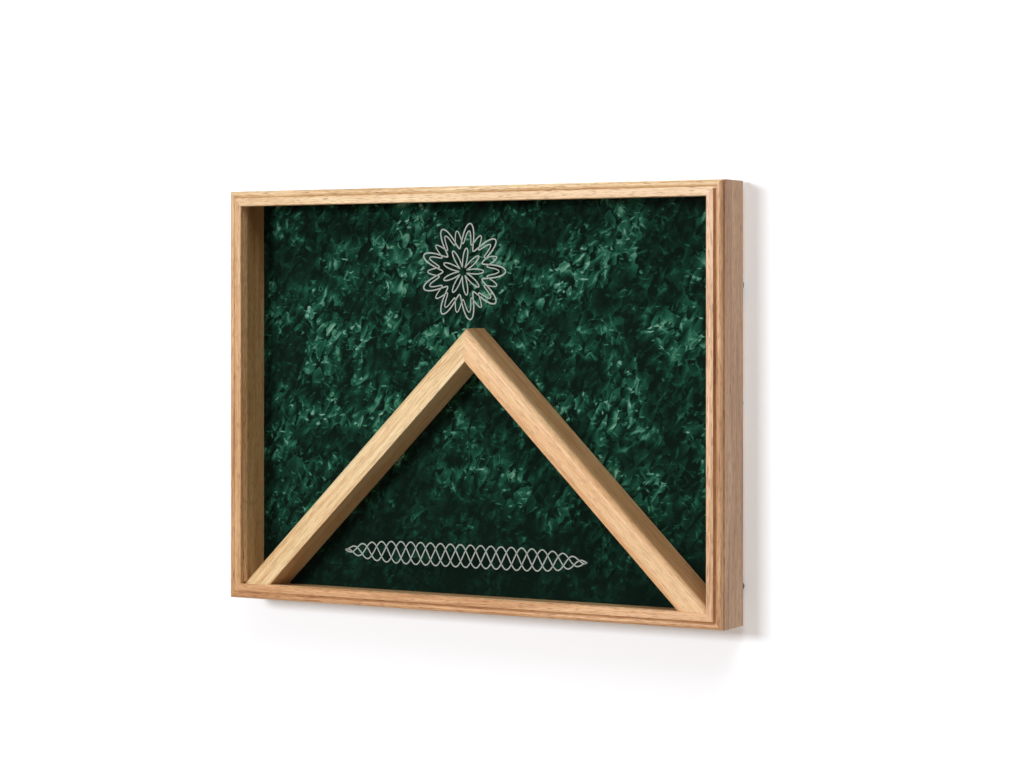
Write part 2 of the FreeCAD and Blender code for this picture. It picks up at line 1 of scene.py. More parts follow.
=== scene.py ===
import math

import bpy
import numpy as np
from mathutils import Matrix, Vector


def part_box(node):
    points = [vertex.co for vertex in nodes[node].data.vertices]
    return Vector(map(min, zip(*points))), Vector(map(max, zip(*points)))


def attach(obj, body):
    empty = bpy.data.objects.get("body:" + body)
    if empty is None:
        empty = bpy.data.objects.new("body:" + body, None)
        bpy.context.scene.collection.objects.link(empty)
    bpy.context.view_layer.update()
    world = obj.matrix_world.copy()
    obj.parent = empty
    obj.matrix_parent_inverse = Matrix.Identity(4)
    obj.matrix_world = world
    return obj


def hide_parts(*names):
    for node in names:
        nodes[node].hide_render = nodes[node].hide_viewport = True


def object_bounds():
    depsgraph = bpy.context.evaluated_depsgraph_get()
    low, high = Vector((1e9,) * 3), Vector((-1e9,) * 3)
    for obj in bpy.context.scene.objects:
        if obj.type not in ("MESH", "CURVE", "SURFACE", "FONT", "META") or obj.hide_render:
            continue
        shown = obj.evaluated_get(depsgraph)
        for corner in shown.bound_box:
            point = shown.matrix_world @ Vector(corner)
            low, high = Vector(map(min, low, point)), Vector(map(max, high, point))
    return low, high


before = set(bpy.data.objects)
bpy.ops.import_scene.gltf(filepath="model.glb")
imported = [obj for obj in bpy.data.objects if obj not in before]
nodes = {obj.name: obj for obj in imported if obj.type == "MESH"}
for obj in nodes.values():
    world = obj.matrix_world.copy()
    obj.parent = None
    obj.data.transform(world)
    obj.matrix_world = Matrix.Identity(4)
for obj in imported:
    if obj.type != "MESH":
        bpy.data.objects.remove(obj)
start_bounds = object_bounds()

# %% [markdown]
# # A display case for a folded flag
# The joinery already stands in the frame: oak boards and bars, glass, backing board and hardware. This
# lesson gives those pieces their finish, and makes the two things that solid modelling does badly: the
# crushed velvet and the frosted ornament on the glass. Lengths are metres, with x to the right, y from
# front to back and z up.

MM = 0.001
print(len(nodes), "pieces came with the frame")

# %% [markdown]
# ## Three small helpers
# Colours are written as the sRGB hex that an eye would match on screen, and turned to the linear values
# that a shader works in. One function adds any shader node with its settings and links, so that a
# material reads as a list of steps, and another starts an empty material. A socket is called by its
# name, or by its number where names repeat or say little: a Math node takes its terms at 0, 1 and 2. A
# Mix node takes its factor at 0 and two numbers at 2 and 3, or two colours at 6 and 7, and then gives
# the mixed colour at output 2.

# %% Colour, node and material helpers
def linear(code):
    """Linear colour of an sRGB hex code, with full alpha.

    Each channel follows the sRGB curve: a straight line near black, and a power of 2.4 above it.
    """
    srgb = np.array([int(code[i:i + 2], 16) for i in (0, 2, 4)]) / 255.0
    low = srgb / 12.92
    high = ((srgb + 0.055) / 1.055) ** 2.4
    return (*np.where(srgb <= 0.04045, low, high).tolist(), 1.0)


def add(tree, kind, values=None, links=None, stops=None, **settings):
    """Add a shader node: settings are its own, values and links go to its inputs, stops to its ramp."""
    made = tree.nodes.new("ShaderNode" + kind)
    for name, value in settings.items():
        setattr(made, name, value)
    for socket, value in (values or {}).items():
        made.inputs[socket].default_value = value
    for socket, source in (links or {}).items():
        tree.links.new(source, made.inputs[socket])
    if stops:
        ramp = made.color_ramp
        while len(ramp.elements) < len(stops):
            ramp.elements.new(0.5)
        for element, (place, code) in zip(ramp.elements, stops):
            element.position = place
            element.color = linear(code)
    return made


def new_material(name):
    """An empty material and its node tree."""
    material = bpy.data.materials.new(name)
    material.use_nodes = True
    material.node_tree.nodes.clear()
    return material, material.node_tree


print("middle grey is", [round(channel, 3) for channel in linear("808080")])

# %% [markdown]
# ## Golden oak
# The boards, bars and strips are varnished oak. Oak shows three things at once: broad bands of early and
# late wood, fine streaks along the grain, and open pores that look like short dark dashes. A picture of
# wood could be wrapped round every board, but it would repeat and need laying out board by board. Here
# each of the three is a noise squeezed hard along the grain. The pattern is drawn in the object's own
# space and a Mapping node turns it, so a rail, a stile and a bar each have the grain running along their
# length, and the mitres show as a change of direction. The pores are drawn 0.5 mm wide, about twice
# their real width, so that they survive at this distance.

# %% Oak
GROWTH_BAND = (200 * MM, 11 * MM)  # length along the grain, width across it
FINE_STREAK = (38 * MM, 1.1 * MM)
OPEN_PORE = (8.3 * MM, 0.53 * MM)
STREAK_SHARE = 0.42  # of the tone; the bands give the rest
TONE_PLACES = (0.32, 0.5, 0.66)
PORE_STOPS = [(0.34, "ffffff"), (0.45, "000000")]
PORE_BROWN = "8c5328"


def oak(name, turn, shift, tones, pore_strength):
    """Varnished oak in three tones, deep to pale, its grain turned about Y by an angle in degrees.

    Each layer is noise in a space divided by the layer's real length and width along the grain.
    """
    material, tree = new_material(name)
    where = add(tree, "TexCoord").outputs["Object"]
    along = add(tree, "Mapping", {"Rotation": (0, math.radians(turn), 0), "Location": shift},
                {"Vector": where}).outputs[0]

    def layer(size, **values):
        length, width = size
        thin = {"Scale": (1 / length, 1 / width, 1 / width)}
        squeezed = add(tree, "Mapping", thin, {"Vector": along}).outputs[0]
        return add(tree, "TexNoise", {"Scale": 1.0, **values}, {"Vector": squeezed}).outputs[0]

    bands = layer(GROWTH_BAND, Detail=3.0, Distortion=0.6)
    streaks = layer(FINE_STREAK, Detail=4.0, Roughness=0.6)
    dashes = layer(OPEN_PORE, Detail=1.0)
    pores = add(tree, "ValToRGB", None, {"Fac": dashes}, stops=PORE_STOPS).outputs[0]
    mixed = add(tree, "Mix", {0: STREAK_SHARE}, {2: bands, 3: streaks}).outputs[0]
    stops = list(zip(TONE_PLACES, tones))
    wood = add(tree, "ValToRGB", None, {"Fac": mixed}, stops=stops).outputs[0]
    weight = add(tree, "Math", {1: pore_strength}, {0: pores}, operation="MULTIPLY").outputs[0]
    stained = add(tree, "Mix", {7: linear(PORE_BROWN)}, {0: weight, 6: wood}, data_type="RGBA").outputs[2]
    gloss = add(tree, "MapRange", {"To Min": 0.36, "To Max": 0.58}, {"Value": streaks}).outputs[0]
    raised = add(tree, "Math", {0: 1.0}, {1: pores}, operation="SUBTRACT").outputs[0]
    relief = add(tree, "Bump", {"Strength": 0.25, "Distance": 0.2 * MM}, {"Height": raised}).outputs[0]
    shade = add(tree, "BsdfPrincipled",
                {"IOR": 1.5, "Coat Weight": 0.25, "Coat Roughness": 0.28, "Coat IOR": 1.5},
                {"Base Color": stained, "Roughness": gloss, "Normal": relief})
    add(tree, "OutputMaterial", None, {"Surface": shade.outputs[0]})
    return material


print("oak pores drawn", round(OPEN_PORE[1] / MM, 2), "mm wide")

# %% [markdown]
# ### Planks
# Every board comes from another plank, so each gets its own place in the pattern and its own tones. The
# top rail is a little paler than the other three boards. The right bar is about as pale but redder, and
# the left bar and the strips behind the glass are the palest. For the bars and the strips this paleness
# is painted light: it makes up for the shade that they lie in behind the frame and the glass. One table
# holds them all, so that tones are easy to compare, and a loop gives each piece its plank.

# %% Oak on the boards, bars and strips
BOARD_PORES = 0.65
# Painted light: the strips are the palest, standing in for front light that their upright faces miss.
STRIP_TONES_PAINTED_LIGHT = ("f0b37a", "ffcf9f", "ffe2c0")
# Each row: plank, turn of the grain, place in the pattern, tones deep to pale, pore strength, pieces.
planks = [
    ("rail_top", 0, (0.3, 0.1, 0.2), ("c29864", "dfc398", "eddbb4"), BOARD_PORES, ["top_rail"]),
    ("rail_bottom", 0, (1.7, 0.4, 0.9), ("ad7644", "dbae80", "efcca5"), BOARD_PORES, ["bottom_rail"]),
    ("stile_left", 90, (2.1, 0.7, 0.3), ("a3713f", "cfa677", "e2c39b"), BOARD_PORES, ["left_stile"]),
    ("stile_right", 90, (3.3, 1.2, 0.6), ("93603a", "d8b087", "efd2b3"), BOARD_PORES, ["right_stile"]),
    # The bars' pale tones are painted light, making up for the shade of the frame and the glass.
    ("bar_left_painted_light", 45, (4.2, 0.2, 1.1), ("d9a46e", "f8d8ac", "feecd0"), 0.35, ["left_bar"]),
    ("bar_right_painted_light", -45, (5.4, 0.9, 1.6), ("c98a52", "efbb8a", "f9d5ac"), 0.4, ["right_bar"]),
    ("strip_level_painted_light", 0, (6.1, 0.3, 0.4), STRIP_TONES_PAINTED_LIGHT, BOARD_PORES,
     ["glass_fillet_top", "glass_fillet_bottom"]),
    ("strip_upright_painted_light", 90, (7.2, 0.5, 0.8), STRIP_TONES_PAINTED_LIGHT, BOARD_PORES,
     ["glass_fillet_left", "glass_fillet_right"]),
]


def finish_with(material, *names):
    """Give named frame pieces one material."""
    for name in names:
        nodes[name].data.materials.clear()
        nodes[name].data.materials.append(material)


for plank, turn, shift, tones, pore_strength, pieces in planks:
    finish_with(oak("oak_varnished_" + plank, turn, shift, tones, pore_strength), *pieces)
    print("oak", plank, "on", *pieces)

# %% [markdown]
# ## Clear glass
# The front is plain float glass. A pane this thin needs no refraction to look right: light goes straight
# through and a little is reflected, more at a slant. A glass shader would do it too, but slowly and with
# noise, so a Fresnel mix of a clear shader and a mirror is used. Light leaves the pane through its other
# face, where a Fresnel node would turn it back as inside a prism, so that face is clear only.

# %% Glass
glass, tree = new_material("glass_float_clear")
clear = add(tree, "BsdfTransparent", {"Color": linear("fcfefd")}).outputs[0]
mirror = add(tree, "BsdfGlossy", {"Color": linear("ffffff"), "Roughness": 0.02}).outputs[0]
slant = add(tree, "Fresnel", {"IOR": 1.5}).outputs[0]
leaving = add(tree, "NewGeometry").outputs["Backfacing"]
entering = add(tree, "Math", {0: 1.0}, {1: leaving}, operation="SUBTRACT").outputs[0]
mirrored = add(tree, "Math", None, {0: slant, 1: entering}, operation="MULTIPLY").outputs[0]
pane = add(tree, "MixShader", None, {0: mirrored, 1: clear, 2: mirror}).outputs[0]
add(tree, "OutputMaterial", None, {"Surface": pane})
finish_with(glass, "glass_pane")
pane_low, pane_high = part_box("glass_pane")
print("glass is", round((pane_high[1] - pane_low[1]) / MM, 2), "mm thick")

# %% [markdown]
# ## Metal, hardboard and bumpers
# The hidden side has plain hardware. Zinc plate is a pale metal with faint blotches left by the bath.
# Hardboard is brown fibre pressed on a wire screen, whose mesh stays on its back; it is drawn 2.2 mm wide,
# about twice the real pitch, so that it shows. The bumpers are soft grey pads. All three are two tones
# blotched by a fine noise, so one function makes them, and the screen is an extra that only one asks for.

# %% Hardware finishes
BLOTCH_PLACES = (0.35, 0.65)
ROUGH_SPREAD = 0.08
WAVE_PITCH = 0.314  # a wave texture of scale 1 repeats after about pi / 10


def speckled(name, low, high, cell, metal, rough, screen=0.0):
    """Two colours blotched by noise in cells of a given length, which also vary roughness and relief.

    Where a screen's pitch is given, the relief is the product of two waves that cross squarely instead.
    """
    material, tree = new_material(name)
    where = add(tree, "TexCoord").outputs["Object"]
    blotch = add(tree, "TexNoise", {"Scale": 1 / cell, "Detail": 5.0, "Roughness": 0.65},
                 {"Vector": where}).outputs[0]
    stops = list(zip(BLOTCH_PLACES, (low, high)))
    tone = add(tree, "ValToRGB", None, {"Fac": blotch}, stops=stops).outputs[0]
    grain = add(tree, "MapRange", {"To Min": rough - ROUGH_SPREAD, "To Max": rough + ROUGH_SPREAD},
                {"Value": blotch}).outputs[0]
    height = blotch
    if screen:
        wires = [add(tree, "TexWave", {"Scale": WAVE_PITCH / screen}, {"Vector": where},
                     bands_direction=way).outputs["Fac"] for way in ("X", "Z")]
        height = add(tree, "Math", None, {0: wires[0], 1: wires[1]}, operation="MULTIPLY").outputs[0]
    relief = add(tree, "Bump", {"Strength": 0.4, "Distance": 0.15 * MM}, {"Height": height}).outputs[0]
    shade = add(tree, "BsdfPrincipled", {"Metallic": metal},
                {"Base Color": tone, "Roughness": grain, "Normal": relief})
    add(tree, "OutputMaterial", None, {"Surface": shade.outputs[0]})
    return material


zinc = speckled("steel_zinc_plated", "8c8d8c", "b4b5b2", cell=1.1 * MM, metal=1.0, rough=0.36)
hardboard = speckled("hardboard_pressed", "5c3f28", "8d6848", cell=2.4 * MM, metal=0.0, rough=0.72,
                     screen=2.2 * MM)
rubber = speckled("rubber_moulded_grey", "484848", "5a5a5a", cell=0.7 * MM, metal=0.0, rough=0.8)
steel = [name for name in nodes if name.startswith(("turn_button", "hanger"))]
steel += ["corner_nails", "fillet_brads", "button_screws", "bar_screws"]
finish_with(zinc, *steel)
finish_with(hardboard, "backing_board")
finish_with(rubber, "wall_bumpers")
print(len(steel), "steel pieces")

# %% [markdown]
# ## Crushed velvet
# The cloth is cut larger than its board, stretched over the front, folded round the edges and glued down
# behind. A simulation could drape it, but a cloth that is held flat all over has nowhere to fall, so a
# formula gives its shape. Each flat coordinate is run along the front, down the edge and back along the
# rear. The corners are cut away first, as an upholsterer does, so the hems lie side by side.

# %% Size and folds of the cloth
SLACK = 0.2 * MM  # between the board's edge and the cloth
RIDGE_ROOM = 0.5 * MM  # in front of the cloth's base, for its creases
GLUE = 0.3 * MM
HEM = 14 * MM
HEM_ROW = 5 * MM
COLUMNS, ROWS = 330, 246  # about 1.3 mm apart
board_low, board_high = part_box("backing_board")
slab_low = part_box("velvet_cover")[0]
HALF_W = board_high[0] + SLACK
HALF_H = (board_high[2] - board_low[2]) / 2 + SLACK
MIDDLE = (board_high[2] + board_low[2]) / 2
FRONT = slab_low[1] + RIDGE_ROOM
REAR = board_high[1] + GLUE
EDGE = REAR - FRONT


def folded(flat, half):
    """Run a flat coordinate over the front, down the edge and inwards along the rear.

    Returns the coordinate, how far down the edge it is, and how far in from the edge behind.
    """
    over = np.clip(np.abs(flat) - half, 0, None)
    down = np.clip(over, 0, EDGE)
    inward = over - down
    return np.sign(flat) * (np.minimum(np.abs(flat), half) - inward), down, inward


def cloth_axis(half, steps):
    """Flat coordinates across the cloth: even steps over the front, and a few more on edge and hem."""
    fold = np.array([EDGE + HEM, EDGE + HEM_ROW, EDGE, EDGE / 2])
    return np.concatenate([-(half + fold), np.linspace(-half, half, steps), half + fold[::-1]])


flat_x, flat_z = np.meshgrid(cloth_axis(HALF_W, COLUMNS), cloth_axis(HALF_H, ROWS), indexing="ij")
x, down_x, in_x = folded(flat_x, HALF_W)
z, down_z, in_z = folded(flat_z, HALF_H)
print("cloth grid of", x.shape, "points,", round(EDGE / MM, 2), "mm down the edge")

# %% [markdown]
# ### Creases
# Crushing leaves ridges under half a millimetre high. A bump in the material could fake them, but then the
# cloth itself would be flat, so they are given to the surface. Noise that is folded at its middle value
# turns smooth hills into sharp creases, and three sizes of them are added up.

# %% Noise on the grid
LATTICE = 96
TABLE_X, TABLE_Z = 31.0, 17.0  # the table's entry at the middle of the cloth
WARP_REACH, WARP_CELL = 0.9, 1.7  # both in cells of the creases
rng = np.random.default_rng(7)


def smoothstep(share):
    """Ease from 0 to 1: three times the square less twice the cube."""
    return share * share * (3 - 2 * share)


def noise(x, z, cell):
    """Smooth value noise: random numbers at lattice corners, blended by smoothstep between them."""
    table = rng.random((LATTICE, LATTICE))
    place_x, place_z = x / cell + TABLE_X, z / cell + TABLE_Z
    corner_x, corner_z = np.floor(place_x).astype(int), np.floor(place_z).astype(int)
    blend_x, blend_z = smoothstep(place_x - corner_x), smoothstep(place_z - corner_z)
    left, right = corner_x % LATTICE, (corner_x + 1) % LATTICE
    low, high = corner_z % LATTICE, (corner_z + 1) % LATTICE
    below = table[left, low] * (1 - blend_x) + table[right, low] * blend_x
    above = table[left, high] * (1 - blend_x) + table[right, high] * blend_x
    return below * (1 - blend_z) + above * blend_z


def creases(x, z, cell):
    """Sharp ridges: one minus twice the distance of warped noise from its middle value."""
    reach = WARP_REACH * cell
    sway_x = noise(x, z, cell * WARP_CELL) - 0.5
    sway_z = noise(x, z, cell * WARP_CELL) - 0.5
    return 1 - np.abs(2 * noise(x + reach * sway_x, z + reach * sway_z, cell) - 1)


print("crease noise on a lattice of", LATTICE, "by", LATTICE)

# %% Relief and surface of the cloth
RIDGES = ((0.55, 13 * MM), (0.3, 6 * MM), (0.15, 3 * MM))  # share of the height, size of the creases
RIDGE_HEIGHT = 0.42 * MM
RIDGE_FADE = 4 * MM  # along the board's edges, where the cloth is pulled smooth
ridge = sum(share * creases(x, z, cell) for share, cell in RIDGES)
on_front = (down_x + down_z) == 0
edge_fade = np.clip(np.minimum(HALF_W - np.abs(x), HALF_H - np.abs(z)) / RIDGE_FADE, 0, 1)
relief = np.where(on_front, -RIDGE_HEIGHT * ridge * edge_fade, 0)
# Each hem narrows inwards, so that two hems meet at 45 degrees behind a corner of the board.
points = np.stack([
    x * (1 - in_z / HALF_W),
    FRONT + np.maximum(down_x, down_z) + relief,
    MIDDLE + z * (1 - in_x / HALF_H)], axis=-1)
print("creases up to", round(-relief.min() / MM, 2), "mm high")

# %% [markdown]
# ### From grid to mesh
# Faces could be added one at a time, but a grid numbers its own corners, so foreach_set puts whole arrays
# of points and quads into the mesh at once. The sheet then replaces the plain slab, which is hidden, and
# rides on the case.

# %% Mesh of a grid
def sheet_mesh(name, grid, keep=None):
    """Mesh of a grid of points: one smooth quad per cell, leaving out cells that keep marks False."""
    rows, columns = grid.shape[:2]
    number = np.arange(rows * columns).reshape(rows, columns)
    quads = np.stack([number[:-1, :-1], number[1:, :-1], number[1:, 1:], number[:-1, 1:]], axis=-1)
    quads = quads.reshape(-1, 4) if keep is None else quads[keep]
    used, packed = np.unique(quads, return_inverse=True)
    spots = grid.reshape(-1, 3)[used].astype(np.float32)
    quads = packed.reshape(-1, 4)
    mesh = bpy.data.meshes.new(name)
    mesh.vertices.add(len(spots))
    mesh.vertices.foreach_set("co", spots.ravel())
    mesh.loops.add(quads.size)
    mesh.loops.foreach_set("vertex_index", quads.ravel().astype(np.int32))
    mesh.polygons.add(len(quads))
    mesh.polygons.foreach_set("loop_start", np.arange(0, quads.size, 4, dtype=np.int32))
    mesh.polygons.foreach_set("use_smooth", np.ones(len(quads), dtype=bool))
    mesh.update(calc_edges=True)
    item = bpy.data.objects.new(name, mesh)
    bpy.context.scene.collection.objects.link(item)
    return item


past_x = np.abs((flat_x[:-1, :-1] + flat_x[1:, 1:]) / 2) > HALF_W
past_z = np.abs((flat_z[:-1, :-1] + flat_z[1:, 1:]) / 2) > HALF_H
velvet = sheet_mesh("velvet_crushed", points, ~(past_x & past_z))
print("velvet has", len(velvet.data.polygons), "quads")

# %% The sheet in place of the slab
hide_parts("velvet_cover")
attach(velvet, "case")

# %% [markdown]
# ### The pile
# Crushed pile leans a different way in every small facet, so neighbours catch the light or swallow it.
# Hair strands could show that, but they are heavy and are lost when the model is exported, so the lean is
# painted. Each facet is a Voronoi cell pulled out of shape by noise: its tone climbs along a direction
# that the cell draws for itself, and where the pile is pressed flat it shines, from a sharp crease to a
# soft edge.

# %% Facets of the pile
BEND = (1.3, 1.3, 1.3)  # how far noise pulls a cell, in cells
HALF = (0.5, 0.5, 0.5)


def facet(tree, where, turn, length, width):
    """How far a point lies across its own cell, with the cell's other outputs.

    Cells are length by width in metres, turned about Y by an angle in degrees. The value is the dot
    product of the point's offset from the cell's seed with a direction that the cell draws for itself.
    """
    way = add(tree, "Mapping", {"Rotation": (0, math.radians(turn), 0), "Scale": (width, width, length)},
              {"Vector": where}, vector_type="TEXTURE").outputs[0]
    sway = add(tree, "TexNoise", {"Scale": 0.8, "Detail": 2.0}, {"Vector": way}).outputs["Color"]
    bent = add(tree, "VectorMath", {1: BEND}, {0: sway, 2: way}, operation="MULTIPLY_ADD").outputs[0]
    cell = add(tree, "TexVoronoi", {"Scale": 1.0}, {"Vector": bent}).outputs
    offset = add(tree, "VectorMath", None, {0: bent, 1: cell["Position"]}, operation="SUBTRACT").outputs[0]
    drawn = add(tree, "VectorMath", {1: HALF}, {0: cell["Color"]}, operation="SUBTRACT").outputs[0]
    unit = add(tree, "VectorMath", None, {0: drawn}, operation="NORMALIZE").outputs[0]
    across = add(tree, "VectorMath", None, {0: offset, 1: unit}, operation="DOT_PRODUCT").outputs["Value"]
    return across, cell


def stroke(tree, where, turn, length, width):
    """A lit facet in each cell: it starts sharply at a crease and fades away to one side of it.

    The product of a steep rise and a slow fall across the crease, a fade towards the cell's edge,
    and a strength that the cell draws, so that many cells stay dark.
    """
    across, cell = facet(tree, where, turn, length, width)
    drawn = add(tree, "SeparateColor", None, {0: cell["Color"]}).outputs["Green"]
    # Each row: a value, where it leaves the pile dark, and where it leaves it bright.
    limits = [(across, -0.02, 0.06), (across, 0.42, 0.08), (cell["Distance"], 0.75, 0.25), (drawn, 0.3, 1.0)]
    parts = [add(tree, "MapRange", {"From Min": dark, "From Max": bright}, {"Value": value}).outputs[0]
             for value, dark, bright in limits]
    lit = parts[0]
    for part in parts[1:]:
        lit = add(tree, "Math", None, {0: lit, 1: part}, operation="MULTIPLY").outputs[0]
    return lit


pile, tree = new_material("velvet_crushed_green")
where = add(tree, "TexCoord").outputs["Object"]
print("started", pile.name)

# %% [markdown]
# Broad facets give the lean, and three sizes of lit strokes lie over them. A slow noise decides where the
# crush is strong. Towards the foot of the cloth the tone is darkened, as painted shade.

# %% Crush of the pile
LEAN = (30, 13 * MM, 7 * MM)  # turn in degrees, length, width
STROKES = [(40, 16 * MM, 9 * MM), (-35, 10 * MM, 6 * MM), (80, 6 * MM, 3.6 * MM)]
LEAN_SHARE = 0.4
CRUSH_PATCH = 32 * MM
FOOT_LOW, FOOT_HIGH = 15 * MM, 120 * MM
slope = facet(tree, where, *LEAN)[0]
leaning = add(tree, "MapRange", {"From Min": -0.35, "From Max": 0.45}, {"Value": slope}).outputs[0]
strokes = [stroke(tree, where, *size) for size in STROKES]
shining = strokes[0]
for other in strokes[1:]:
    shining = add(tree, "Math", None, {0: shining, 1: other}, operation="MAXIMUM").outputs[0]
pressed = add(tree, "Math", {1: LEAN_SHARE}, {0: leaning, 2: shining}, operation="MULTIPLY_ADD").outputs[0]
slow = add(tree, "TexNoise", {"Scale": 1 / CRUSH_PATCH, "Detail": 2.0}, {"Vector": where}).outputs[0]
strong = add(tree, "MapRange", {"From Min": 0.39, "From Max": 0.62, "To Min": 0.27, "To Max": 1.0},
             {"Value": slow}).outputs[0]
# Painted shade: the pile's tone falls towards the foot of the cloth, to 0.22 of itself at the bottom.
above_foot = add(tree, "SeparateXYZ", None, {0: where}).outputs["Z"]
painted_foot_shade = add(tree, "MapRange", {"From Min": FOOT_LOW, "From Max": FOOT_HIGH, "To Min": 0.22, "To Max": 1.0},
              {"Value": above_foot}).outputs[0]
pressed_with_foot_shade = add(tree, "Math", None, {0: pressed, 1: painted_foot_shade}, operation="MULTIPLY").outputs[0]
lit = add(tree, "Math", None, {0: pressed_with_foot_shade, 1: strong}, operation="MULTIPLY").outputs[0]
print("velvet strokes in", len(strokes), "sizes")

# %% [markdown]
# The crush picks a tone, from the green-black of pile that swallows light to the pale green of pile
# pressed flat. The nap is a fine bump, drawn 0.5 mm wide, coarser than real pile, so that it shows. A
# little sheen adds the pale rim of pile at a slant, and velvet has no gloss of its own.

# %% Colour and nap of the pile
PILE_TONES = [(0.03, "0e1d18"), (0.18, "16392e"), (0.34, "235a48"), (0.56, "4f8673"), (0.90, "88afa1")]
NAP = 0.5 * MM
tone = add(tree, "ValToRGB", None, {"Fac": lit}, stops=PILE_TONES).outputs[0]
fuzz = add(tree, "TexNoise", {"Scale": 1 / NAP, "Detail": 2.0}, {"Vector": where}).outputs[0]
nap = add(tree, "Bump", {"Strength": 0.35, "Distance": 0.3 * MM}, {"Height": fuzz}).outputs[0]
shade = add(tree, "BsdfPrincipled",
            {"Roughness": 0.85, "Sheen Weight": 0.06, "Sheen Roughness": 0.4,
             "Sheen Tint": linear("7fb59c"), "Specular IOR Level": 0.0},
            {"Base Color": tone, "Normal": nap})
add(tree, "OutputMaterial", None, {"Surface": shade.outputs[0]})
velvet.data.materials.append(pile)
print("velvet in", len(PILE_TONES), "tones")

# %% [markdown]
# ## Frosted ornament
# The glass is decorated by sandblasting, which leaves a white, rough skin. A mask in the glass material
# could show it, but thin strips of mesh keep clean edges at any distance. A plain rosette and a woven band
# are drawn: each is a curve given a width, like the line a machine engraves. The band is three waves a
# third of a pitch apart, which die away at its ends. The strips lie a hair in front of the pane.

# %% Lines of the ornament
ETCH_FACE = pane_low[1] - 0.03 * MM
ROSE_UP = 274 * MM
ROSE_POINTS = 1440


def ribbon(name, across, up, width, closed):
    """A flat strip along a curve: the curve moved half a width to each side along its normal.

    A closed curve takes its direction from the points on either side, and ends where it began.
    """
    way = np.stack([np.gradient(across), np.gradient(up)])
    if closed:
        way = np.stack([np.roll(line, -1) - np.roll(line, 1) for line in (across, up)])
    way /= np.linalg.norm(way, axis=0)
    edges = []
    for half in (-width / 2, width / 2):
        spots = (across - way[1] * half, np.full_like(across, ETCH_FACE), up + way[0] * half)
        edges.append(np.stack(spots, axis=-1))
    strip = np.stack(edges, axis=1)
    return sheet_mesh(name, np.concatenate([strip, strip[:1]]) if closed else strip)


def rosette(name, radius, lobes, swing, width):
    """A circle whose radius swings in and out a whole number of times on the way round.

    The reach is the radius times the sum of one, less the swing, and the swing times a cosine that goes
    through as many periods as there are lobes.
    """
    turn = np.linspace(0, 2 * math.pi, ROSE_POINTS, endpoint=False)
    reach = radius * (1 - swing + swing * np.cos(lobes * turn))
    return ribbon(name, reach * np.cos(turn), ROSE_UP + reach * np.sin(turn), width, closed=True)


etched = [
    rosette("etched_rosette_wide", radius=39 * MM, lobes=9, swing=0.26, width=1.1 * MM),
    rosette("etched_rosette_middle", radius=33 * MM, lobes=18, swing=0.16, width=0.9 * MM),
    rosette("etched_rosette_inner", radius=19 * MM, lobes=9, swing=0.4, width=1.0 * MM),
]
print("rosette of", len(etched), "lines")

# %% Woven band
BAND_UP, BAND_HALF, BAND_PITCH = 46 * MM, 112 * MM, 28 * MM
BAND_SWING, BAND_TAPER = 9 * MM, 6
BAND_LINE = 1.0 * MM
BAND_POINTS = 900
WAVES = 3
band = np.linspace(-BAND_HALF, BAND_HALF, BAND_POINTS)
swing = BAND_SWING * (1 - (band / BAND_HALF) ** BAND_TAPER)
for number in range(WAVES):
    phase = 2 * math.pi * (band / BAND_PITCH + number / WAVES)
    wave = BAND_UP + swing * np.sin(phase)
    etched.append(ribbon("etched_band_%d" % number, band, wave, BAND_LINE, closed=False))
print(len(etched), "etched lines,", sum(len(item.data.polygons) for item in etched), "quads")

# %% [markdown]
# The blasted skin is white, dull and not quite closed: grit leaves specks of clear glass between the
# pits. A noise mixes the white skin with a clear shader to leave those specks. The grit is drawn about
# 0.3 mm wide, coarser than the real sand, so that it shows.

# %% Frosted skin
GRIT = 0.33 * MM
frost, tree = new_material("glass_sandblasted_white")
where = add(tree, "TexCoord").outputs["Object"]
grit = add(tree, "TexNoise", {"Scale": 1 / GRIT, "Detail": 2.0}, {"Vector": where}).outputs[0]
cover = add(tree, "MapRange", {"From Min": 0.3, "From Max": 0.7, "To Min": 0.55, "To Max": 0.9},
            {"Value": grit}).outputs[0]
skin = add(tree, "BsdfPrincipled", {"Base Color": linear("b9c4c0"), "Roughness": 0.75}).outputs[0]
through = add(tree, "BsdfTransparent").outputs[0]
frosted = add(tree, "MixShader", None, {0: cover, 1: through, 2: skin}).outputs[0]
add(tree, "OutputMaterial", None, {"Surface": frosted})
for item in etched:
    item.data.materials.append(frost)
    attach(item, "case")
print("frosted", [item.name for item in etched])

# %% [markdown]
# ## The stage, the light and the camera
# The case hangs on a white wall, over a pale floor that stays below the picture. Both are seen from their
# front only and let light pass, so that the case can be looked at from behind and below as well. The
# paint is a little cool, which balances the warm fill light. More light would make it white but would
# bleach the case too, so the paint glows slightly for the camera alone.

# %% Wall and floor
WALL_AT = start_bounds[1][1] + 0.5 * MM
FLOOR_AT = -0.6
STAGE_HALF = 4.0
STIPPLE_SIZE = 2.5 * MM


